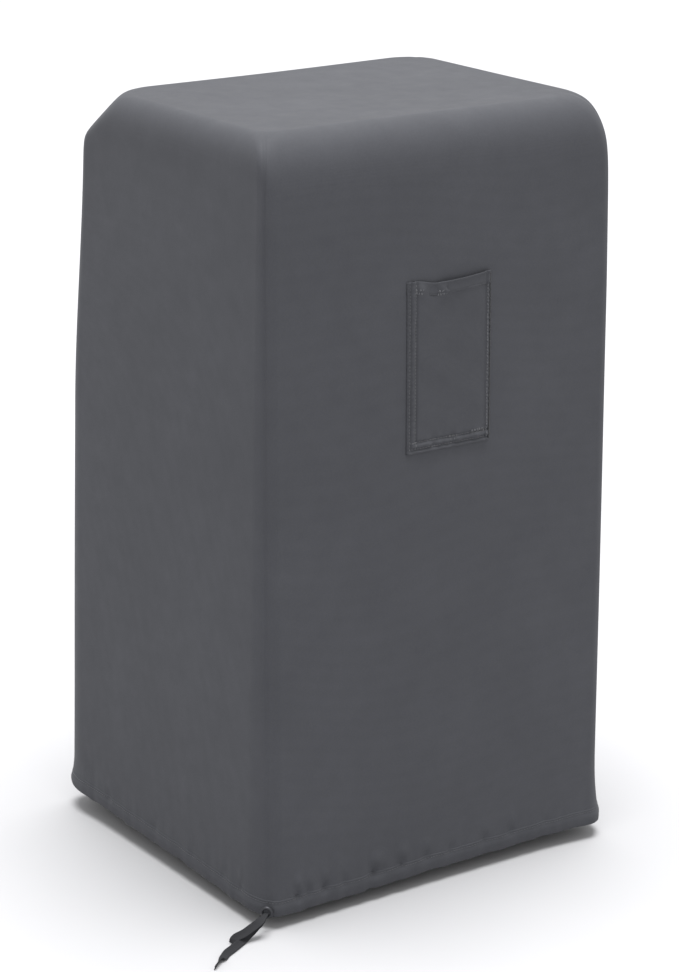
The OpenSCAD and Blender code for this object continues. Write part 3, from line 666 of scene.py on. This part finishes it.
def top_patch(edge):
    """Fills the ring at the top with a grid that is stretched between its four sides."""
    nx, ny = FRONT + 2 * ARC, SIDE + 2 * ARC
    south, east, north, west = four_sides(edge)
    u = length_along(south)[:, None] / length_along(south)[-1]
    v = length_along(east)[:, None] / length_along(east)[-1]
    grid = np.empty((ny + 1, nx + 1, 3))
    for j in range(ny + 1):
        t = v[j]
        row = south * (1 - t) + north * t + west[j] * (1 - u) + east[j] * u
        row -= ((1 - u) * (1 - t) * south[0] + u * (1 - t) * south[-1]
                + (1 - u) * t * north[0] + u * t * north[-1])
        grid[j] = row
    grid[0], grid[-1], grid[:, 0], grid[:, -1] = south, north, west, east
    x = grid[..., 0] / (HALF_W - ROLL_IN_X)
    y = grid[..., 1] / (HALF_D - ROLL_IN_Y)
    inside = np.clip(1 - x ** 2, 0, 1) * np.clip(1 - y ** 2, 0, 1)
    grid[..., 2] -= TOP_SAG * inside ** 0.8
    return grid


def build_skin():
    rows = [wall_row(z) for z in np.arange(SKIN_BOTTOM, FINE_TOP, FINE_STEP)]
    rows += [wall_row(FINE_TOP + (TOP_Z - ROLL_UP - FINE_TOP) * t)
             for t in np.linspace(0, 1, WALL_ROWS)]
    rows += [roll_row(t) for t in np.linspace(0, 1, ROLL_ROWS)[1:]]
    points = np.vstack(rows)
    faces = grid_faces(len(rows), COLUMNS, closed=True)
    grid = top_patch(rows[-1])
    ny, nx = grid.shape[0] - 1, grid.shape[1] - 1
    index = np.full((ny + 1, nx + 1), -1)
    ring = (len(rows) - 1) * COLUMNS + np.arange(COLUMNS)
    index[0], index[:, -1], index[-1], index[:, 0] = four_sides(ring)
    index[1:-1, 1:-1] = len(points) + np.arange((ny - 1) * (nx - 1)).reshape(ny - 1, nx - 1)
    points = np.vstack([points, grid[1:-1, 1:-1].reshape(-1, 3)])
    faces += [(index[j, i], index[j, i + 1], index[j + 1, i + 1], index[j + 1, i])
              for j in range(ny) for i in range(nx)]
    faces = [tuple(int(i) for i in f) for f in faces]
    skin = add_mesh("cover_skin", points, faces, "cover", "cover_fabric", material("cloth"))
    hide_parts("cover_top_panel", "cover_front_panel", "cover_back_panel",
                "cover_left_panel", "cover_right_panel")
    return thicken(skin, CLOTH_T)


EYELET_HOLE_R = 4.4 * MM


def eyelet_place():
    """The eyelet's centre, a little below the CAD's, and the way it faces."""
    low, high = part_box("cover_eyelet")
    centre = np.array((low + high) / 2)
    return centre + np.array([0, 0, -2.0]) * MM, unit(np.array([-1.0, -1.0, 0]))


def build_casing():
    """The doubled hem: down the inside, round the fold and up the outside past the stitches,
    with a hole for the eyelet."""
    corner = sum(bell(from_corner(i), 24 * MM) for i in range(4))
    inside = [(17, -3.2), (13, -3.7), (8, -4.0), (4, -3.9), (1.6, -3.3)]
    fold = [(0.3, -2.4), (-0.2, -1.5), (0.0, -0.7), (0.7, -0.2), (2, 0.1), (3.5, 0.3)]
    outside = [(5, 0.45), (6.5, 0.6), (8, 0.7), (9.5, 0.8), (11, 0.8), (12.5, 0.72), (14, 0.55),
               (15.2, 0.38), (16, 0.3), (16.8, 0.38), (17.6, 0.45), (18.4, 0.4), (19.2, 0.28)]
    rows = []
    for up, out in inside + fold + outside:
        flick = corner * max(out, 0) * bell(up - 5, 8)
        rows.append(wall_row(HEM_Z + up * MM, (out + flick) * MM))
    points = np.vstack(rows)
    faces = grid_faces(len(rows), COLUMNS, closed=True)
    centre, axis = eyelet_place()
    middles = points[np.array(faces)].mean(1) - centre
    along = middles @ axis
    aside = np.linalg.norm(middles - along[:, None] * axis, axis=1)
    faces = [f for f, a, r in zip(faces, along, aside)
             if a <= -3.5 * MM or r >= EYELET_HOLE_R]
    casing = add_mesh("cover_hem", points, faces, "cover", "cover_trim", material("trim"))
    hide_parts("cover_hem_casing")
    return thicken(casing, CASING_T)


def build_loop():
    """The part of the drawcord that runs inside the hem."""
    profile = [(4.6, -2.2), (4.2, -1.7), (4.6, -1.2), (12.4, -1.2), (12.8, -1.7), (12.4, -2.2)]
    rows = [wall_row(HEM_Z + up * MM, out * MM) for up, out in profile]
    points = np.vstack(rows + rows[:1])
    faces = grid_faces(len(rows) + 1, COLUMNS, closed=True)[::-1]
    loop = add_mesh("drawcord_in_hem", points, faces, "cover", "ribbon", material("ribbon"))
    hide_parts("drawcord_loop")
    return loop


def front_wall(x, z, out):
    """Points on the front panel, at x and height z, moved out of it."""
    x, z, out = np.broadcast_arrays(*(np.asarray(v, float) for v in (x, z, out)))
    share = flare(z)
    p = np.stack([x, -(HALF_D + share * FLARE_Y), z], -1)
    p[..., 1] -= swell(p) + out
    p[..., 2] += share * HEM_TILT * (p[..., 1] - HEM_TILT_Y)
    return lean(p)


# ---- Pocket ----

POCKET_W, POCKET_H = 108 * MM, 185 * MM
POCKET_X, POCKET_Z = 0.5 * MM, 506 * MM
POCKET_T = 0.6 * MM
POCKET_SEAM, POCKET_TURN = 4.5 * MM, 12 * MM    # the two stitched lines, in from the edge
POCKET_ROWS, POCKET_COLUMNS = 170, 96
POCKET_FACING = (0, -1.0, 0.03)


def pocket_out(u, v):
    """How far the pocket's face stands off the panel. u runs across and v up, both 0 to 1.
    The parts of the height are in millimetres."""
    left, right, low = u * POCKET_W, POCKET_W - u * POCKET_W, v * POCKET_H
    edge = np.minimum(np.minimum(left, right), low)
    body = 1.6 * (1 - np.exp(-edge / (9 * MM)))
    ridge = 1.7 * bell(edge - 1.2 * MM, 2.0 * MM) * (1 + 0.25 * np.sin(190 * v + 40 * u))
    inner = np.minimum(left, low)
    groove = (-1.9 * bell(inner - POCKET_SEAM, 1.3 * MM)
              - 0.5 * bell(right - POCKET_SEAM, 1.3 * MM)
              - 1.9 * bell(inner - POCKET_TURN, 1.4 * MM)
              + 1.0 * bell(inner - POCKET_TURN + 4 * MM, 2.2 * MM)
              * (1 + 0.3 * np.sin(150 * v - 60 * u)))
    span = np.sin(math.pi * np.clip(u, 0, 1))
    mouth = np.clip((v - 0.72) / 0.28, 0, 1) ** 2 * 1.5 * span ** 0.8
    lip = 2.2 * bell(v - 1.0, 0.014) * ease(u, 0.38, 0.5) + ease(u, 0.40, 0.5) * ease(
        u, 0.97, 0.85) * (1.3 * bell(v - 0.935, 0.016) - 2.4 * bell(v - 0.962, 0.013))
    creases = bell(v - 0.955, 0.03) * (
        2.6 * bell(u - 0.16, 0.05) + 3.0 * bell(u - 0.44, 0.05) - 3.0 * bell(u - 0.31, 0.045)
        - 1.0 * bell(u - 0.62, 0.09))
    puckers = bell(low - 9 * MM, 7 * MM) * (
        0.8 * np.sin(31 * u + 0.5) + 0.6 * np.sin(53 * u)) * span ** 0.3
    soft = 0.5 * np.sin(7 * u + 2.1) * np.sin(8.5 * v + 0.6) + 0.25 * np.sin(23 * v + 9 * u)
    total = (0.7 + body + ridge + groove + mouth + lip + creases + puckers
             + soft * np.clip(edge / (10 * MM), 0, 1))
    least = 0.15
    total = least + (total - least) * ease(left, -0.2 * MM, 2.4 * MM)
    return MM * np.maximum(total, least)


def mouth_drop(u):
    """The pocket's mouth sags between its upper corners."""
    sag = 3.4 * np.sin(math.pi * np.clip(u, 0, 1)) ** 1.1
    sag += 1.4 * bell(u - 0.33, 0.1) - 1.0 * bell(u - 0.14, 0.1)
    return -MM * sag


def pocket_place(u, v, out, up=0.0):
    """Points of the pocket at u and v, standing off the panel by out and moved up by up."""
    u, v = np.broadcast_arrays(np.asarray(u, float), np.asarray(v, float))
    z = POCKET_Z + v * POCKET_H + mouth_drop(u) * v ** 4 + up
    return front_wall(POCKET_X + (u - 0.5) * POCKET_W, z, out)


def build_pocket():
    u = np.linspace(0, 1, POCKET_COLUMNS + 1)
    rows = [pocket_place(u, v, pocket_out(u, v)) for v in np.linspace(0, 1, POCKET_ROWS + 1)]
    lip = pocket_out(u, 1.0)
    turned_in = ((0.5, 0.25), (0.6, 0.8), (0.2, 1.3), (-1.5, 1.7), (-5, 1.9), (-9, 1.9), (-13, 1.8))
    for up, back in turned_in:
        under = np.minimum(back * MM, np.maximum(lip - 0.35 * MM, 0.2 * MM))
        rows.append(pocket_place(u, 1.0, lip - under, up * MM))
    faces = grid_faces(len(rows), len(u))
    pocket = add_mesh("cover_pocket_patch", np.vstack(rows), faces, "cover", "cover_trim",
                      material("trim"))
    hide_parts("cover_pocket")
    return thicken(pocket, POCKET_T)


# ---- Stitching ----


def stitch_line(points, outs, pitch=3.6 * MM, long=2.7 * MM, radius=0.34 * MM, closed=False):
    """Verts and faces of one row of stitches: small rounded capsules that dip at their ends.
    outs are the ways out of the cloth at the points."""
    path = np.asarray(points, float)
    outs = np.asarray(outs, float)
    if closed:
        path, outs = np.vstack([path, path[:1]]), np.vstack([outs, outs[:1]])
    run = length_along(path)

    def at_run(values, place):
        place = np.clip(place, 0, run[-1])
        return np.array([np.interp(place, run, values[:, k]) for k in range(3)])

    count = int(run[-1] / pitch)
    near, sides = 0.3 * MM, 6
    # one stitch's rings: place along it, share of the radius, and rise off the cloth
    rings = [(-0.5, 0.35, -0.9), (-0.42, 0.85, -0.2), (-0.2, 1.0, 0.25), (0.2, 1.0, 0.25),
             (0.42, 0.85, -0.2), (0.5, 0.35, -0.9)]
    verts, faces = [], []
    for i in range(count):
        mid = (i + 0.5) * run[-1] / count
        start = len(verts)
        for along, width, rise in rings:
            at = np.clip(mid + along * long, 0, run[-1])
            p = at_run(path, at)
            out = unit(at_run(outs, at))
            side = unit(np.cross(at_run(path, at + near) - at_run(path, at - near), out))
            for s in range(sides):
                angle = 2 * math.pi * s / sides
                verts.append(p + side * math.cos(angle) * radius * width
                             + out * radius * (math.sin(angle) * width + rise))
        faces += grid_faces(len(rings), sides, closed=True, start=start)
        faces.append(tuple(range(start, start + sides))[::-1])
        faces.append(tuple(range(len(verts) - sides, len(verts))))
    return verts, faces


def merge(parts):
    """Verts and faces of several parts as one."""
    verts, faces = [], []
    for v, f in parts:
        faces += [tuple(i + len(verts) for i in face) for face in f]
        verts += list(v)
    return verts, faces


def build_hem_stitches():
    row = wall_row(STITCH_Z, 0.4 * MM)
    outs = np.column_stack([NORMAL, np.zeros(COLUMNS)])
    stitches = stitch_line(row, outs, closed=True)
    return add_mesh("hem_stitches", *stitches, "cover", "cover_trim", material("dark_thread"))


def pocket_seam(u, v, lift=0.0, **sizes):
    """A row of stitches on the pocket, through u and v."""
    path = pocket_place(u, v, pocket_out(*np.broadcast_arrays(u, v)) + 0.15 * MM)
    path[:, 1] -= lift
    return stitch_line(path, np.tile(POCKET_FACING, (len(path), 1)), **sizes)


def pocket_tack(left, right, low, high):
    """Short slanted stitches side by side, which hold the pocket between left and right."""
    count = int((right - left) * POCKET_W / (1.5 * MM))
    parts = []
    for i, place in enumerate(np.linspace(left, right, count)):
        slant = 0.006 * (-1) ** i
        parts.append(pocket_seam(np.array([place - slant, place + slant]),
                                 np.array([low, high]), pitch=3.4 * MM))
    return parts


def build_pocket_stitches():
    up = np.linspace(0.02, 0.985, 90)
    across = np.linspace(0.03, 0.97, 60)
    parts = [pocket_seam(POCKET_SEAM / POCKET_W, up), pocket_seam(POCKET_TURN / POCKET_W, up),
             pocket_seam(1 - 2.6 * MM / POCKET_W, up),
             pocket_seam(across, POCKET_SEAM / POCKET_H),
             pocket_seam(across, POCKET_TURN / POCKET_H)]
    parts += pocket_tack(0.10, 0.17, 0.925, 0.962)
    parts += pocket_tack(0.37, 0.49, 0.915, 0.958)
    parts += pocket_tack(0.52, 0.60, 0.035, 0.075)
    parts += pocket_tack(0.79, 0.95, 0.028, 0.085)
    return add_mesh("pocket_stitches", *merge(parts), "cover", "cover_trim", material("thread"))


def build_pocket_shadow_line():
    """Coarse stitches along the pocket's right edge, near black: a painted shadow line beside the
    edge.
    """
    row = pocket_seam(1 + 1.3 * MM / POCKET_W, np.linspace(0.01, 0.985, 90), lift=0.5 * MM,
                      pitch=2.6 * MM, long=3.2 * MM, radius=0.8 * MM)
    return add_mesh("pocket_shadow_line_stitches", *row, "cover", "cover_trim", material("rim_thread"))


# ---- Eyelet ----


def lathe(profile, centre, axis, sides=48):
    """Verts and faces of a closed profile of (radius, height) turned round a level axis."""
    first = unit(np.cross(axis, [0, 0, 1.0]))
    second = np.cross(axis, first)
    verts = []
    for s in range(sides):
        angle = 2 * math.pi * s / sides
        spoke = first * math.cos(angle) + second * math.sin(angle)
        verts += [centre + spoke * r + axis * h for r, h in profile]
    n = len(profile)
    faces = [(s * n + i, s * n + (i + 1) % n, (s + 1) % sides * n + (i + 1) % n,
              (s + 1) % sides * n + i) for s in range(sides) for i in range(n)]
    return verts, faces


def build_eyelet():
    """A rolled metal ring: its bore, the crown, the rim and the underside."""
    centre, axis = eyelet_place()
    profile = [(3.7, -2.1), (3.7, 0.7), (3.9, 1.3), (4.5, 1.7), (5.3, 1.6), (6.2, 1.1),
               (6.9, 0.4), (7.0, -0.2), (6.6, -0.5), (5.6, -0.2), (4.6, -0.1), (4.3, -0.4),
               (4.2, -2.1)]
    verts, faces = lathe([(r * MM, h * MM) for r, h in profile], centre, axis)
    ring = add_mesh("cover_eyelet_ring", verts, faces, "cover", "eyelet_metal",
                    material("eyelet_metal"))
    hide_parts("cover_eyelet")
    return ring


skin = build_skin()
casing = build_casing()
pocket = build_pocket()
hem_stitches = build_hem_stitches()
pocket_stitches = build_pocket_stitches()
pocket_shadow_line = build_pocket_shadow_line()
eyelet = build_eyelet()
loop = build_loop()

# ---- Smoker: rounded copies of its sharp-edged solids, and the marks on its controls ----

SLOT = {row["node"]: row["material_slot"] for row in frame["record"]["subparts"]}
BODY = {node: body for body, members in frame["record"]["behaviour"]["bodies"].items()
        for node in members}


def rounded(node, radius, piece):
    """A copy of a CAD solid with its sharp edges rounded, which replaces it."""
    shape = bmesh.new()
    shape.from_mesh(nodes[node].data)
    shape.transform(nodes[node].matrix_world)
    bmesh.ops.remove_doubles(shape, verts=shape.verts, dist=0.01 * MM)
    bmesh.ops.dissolve_limit(shape, angle_limit=math.radians(1), verts=shape.verts,
                             edges=shape.edges)
    mesh = bpy.data.meshes.new(piece)
    shape.to_mesh(mesh)
    shape.free()
    obj = bpy.data.objects.new(piece, mesh)
    bpy.context.scene.collection.objects.link(obj)
    modifier = obj.modifiers.new("edges", "BEVEL")
    modifier.width = radius
    modifier.segments = 2
    modifier.limit_method = "ANGLE"
    modifier.angle_limit = math.radians(40)
    settle(obj)
    obj.data.polygons.foreach_set("use_smooth", [True] * len(obj.data.polygons))
    obj.data.set_sharp_from_angle(angle=math.radians(32))
    obj.data.materials.clear()
    obj.data.materials.append(material(SLOT[node]))
    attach(obj, BODY[node])
    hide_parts(node)
    return obj


# Edge radii in millimetres.
ROUNDED = {
    "door_skin": 2.5, "door_handle": 2.5, "door_gasket": 1.2, "control_housing": 2.5,
    "side_panel_left": 0.35, "side_panel_right": 0.35, "base_pan": 0.4,
    "water_pan": 0.3, "drip_pan": 0.3, "chip_box": 0.3, "chip_tray": 0.3,
    "foot_front_left": 2.0, "foot_front_right": 2.0, "foot_back_left": 2.0,
    "foot_back_right": 2.0, "cord_gland": 1.0, "vent_collar": 0.4, "display_window": 0.5,
    "button_power": 0.6, "button_set": 0.6, "button_minus": 0.6, "button_plus": 0.6,
}
for node, radius in ROUNDED.items():
    rounded(node, radius * MM, node + "_rounded")


def prism(outline_xz, back_y, thickness):
    """Verts and faces of a thin plate whose outline is given in x and z, facing the front."""
    n = len(outline_xz)
    verts = [(x, back_y - depth, z) for depth in (0, thickness) for x, z in outline_xz]
    faces = [tuple(range(n, 2 * n)), tuple(range(n))[::-1]]
    faces += [(i, (i + 1) % n, n + (i + 1) % n, n + i) for i in range(n)]
    return verts, faces


def bar(x, z, length, width, upright=False):
    """Six-sided bar with pointed ends, centred on x and z."""
    half, side = length / 2, width / 2
    shape = [(-half, 0), (-half + side, -side), (half - side, -side), (half, 0),
             (half - side, side), (-half + side, side)]
    if upright:
        shape = [(-v, u) for u, v in shape]
    return [(x + u, z + v) for u, v in shape]


def ring_outline(x, z, outer, inner, start, end):
    """A ring from one angle to another, in degrees clockwise from the top."""
    angles = np.radians(np.linspace(start, end, 28))
    loop = [(x + outer * math.sin(a), z + outer * math.cos(a)) for a in angles]
    return loop + [(x + inner * math.sin(a), z + inner * math.cos(a)) for a in angles[::-1]]


def face_of(node):
    """Centre in x and z of a node's box, and the y of its front face."""
    low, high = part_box(node)
    return (low[0] + high[0]) / 2, (low[2] + high[2]) / 2, low[1]


def marks(name, node, outlines, look):
    """Thin marks on a node's front face, which move with it. The outlines are in millimetres
    from the face's centre."""
    x, z, front_y = face_of(node)
    parts = [prism([(x + u * MM, z + v * MM) for u, v in shape], front_y + 0.05 * MM, 0.2 * MM)
             for shape in outlines]
    return add_mesh(name, *merge(parts), BODY[node], SLOT[node], material(look), smooth=False)


SEGMENTS = {"2": "abged", "5": "afgcd"}


def digit(text, x, height):
    """Lit bars of one seven-segment digit, centred on x."""
    half, width = height / 2, height * 0.12
    run = half * 0.94
    places = {"a": (0, half, 0), "g": (0, 0, 0), "d": (0, -half, 0),
              "f": (-half / 2, half / 2, 1), "b": (half / 2, half / 2, 1),
              "e": (-half / 2, -half / 2, 1), "c": (half / 2, -half / 2, 1)}
    return [bar(x + places[c][0], places[c][1], run, width, places[c][2])
            for c in SEGMENTS[text]]


DIGIT_STEP, DIGIT_H = 15, 17
BUTTON_MARKS = {
    "power": [ring_outline(0, -0.4, 3.9, 3.0, 35, 325), bar(0, 2.6, 4.4, 0.9, upright=True)],
    "set": [bar(0, step * 2.4, 6.5, 0.9) for step in (-1, 0, 1)],
    "minus": [bar(0, 0, 7, 1.1)],
    "plus": [bar(-2.1, 0, 2.9, 1.1), bar(2.1, 0, 2.9, 1.1), bar(0, 0, 7, 1.1, upright=True)],
}
degree_sign = ring_outline(27, 7, 1.9, 1.1, 5, 355)
lit = [shape for text, step in zip("225", (-1, 0, 1))
       for shape in digit(text, step * DIGIT_STEP, DIGIT_H)]
marks("display_digits", "display_window", lit + [degree_sign], "lit_segment")
for kind, outlines in BUTTON_MARKS.items():
    marks(kind + "_mark", "button_" + kind, outlines, "mark_print")

for node, slot in SLOT.items():
    if not nodes[node].hide_render:
        nodes[node].data.materials.clear()
        nodes[node].data.materials.append(material(slot if slot in RECIPES else "trim"))

# ---- Floor and light ----


def build_floor():
    """A plain pale floor."""
    k = Looks("studio_floor")
    cloud = k.noise(3.0, 3.0)
    base = k.mix(k.between(cloud, 0.3, 0.7, 0.0, 1.0), (0.42, 0.42, 0.43), (0.43, 0.43, 0.44))
    k.done(base, k.between(cloud, 0.3, 0.7, 0.75, 0.85), Specular_IOR_Level=0.1)
    half = 9.0
    mesh = bpy.data.meshes.new("floor")
    mesh.from_pydata([(-half, -half, 0), (half, -half, 0), (half, half, 0), (-half, half, 0)],
                     [], [(0, 1, 2, 3)])
    floor = bpy.data.objects.new("floor", mesh)
    mesh.materials.append(k.material)
    bpy.context.scene.collection.objects.link(floor)


def add_sun(name, direction, spread, strength):
    """A wide, soft light from a direction, spread over some degrees."""
    data = bpy.data.lights.new(name, "SUN")
    data.angle = math.radians(spread)
    data.energy = strength
    light = bpy.data.objects.new(name, data)
    light.rotation_euler = (-Vector(direction)).to_track_quat("-Z", "Y").to_euler()
    bpy.context.scene.collection.objects.link(light)


build_floor()
world = bpy.data.worlds.new("studio")
bpy.context.scene.world = world
world.use_nodes = True
world.node_tree.nodes["Background"].inputs["Color"].default_value = (1.0, 1.0, 1.0, 1.0)
world.node_tree.nodes["Background"].inputs["Strength"].default_value = 1.0
add_sun("overhead", (0.02, 0.0, 1.0), 36, 5.1)

# ---- Soft pieces: each gets a mesh of its own ----

SOFT = [skin, casing, pocket, hem_stitches, pocket_stitches, pocket_shadow_line, eyelet, loop]

for piece in SOFT + tails:
    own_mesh(piece)
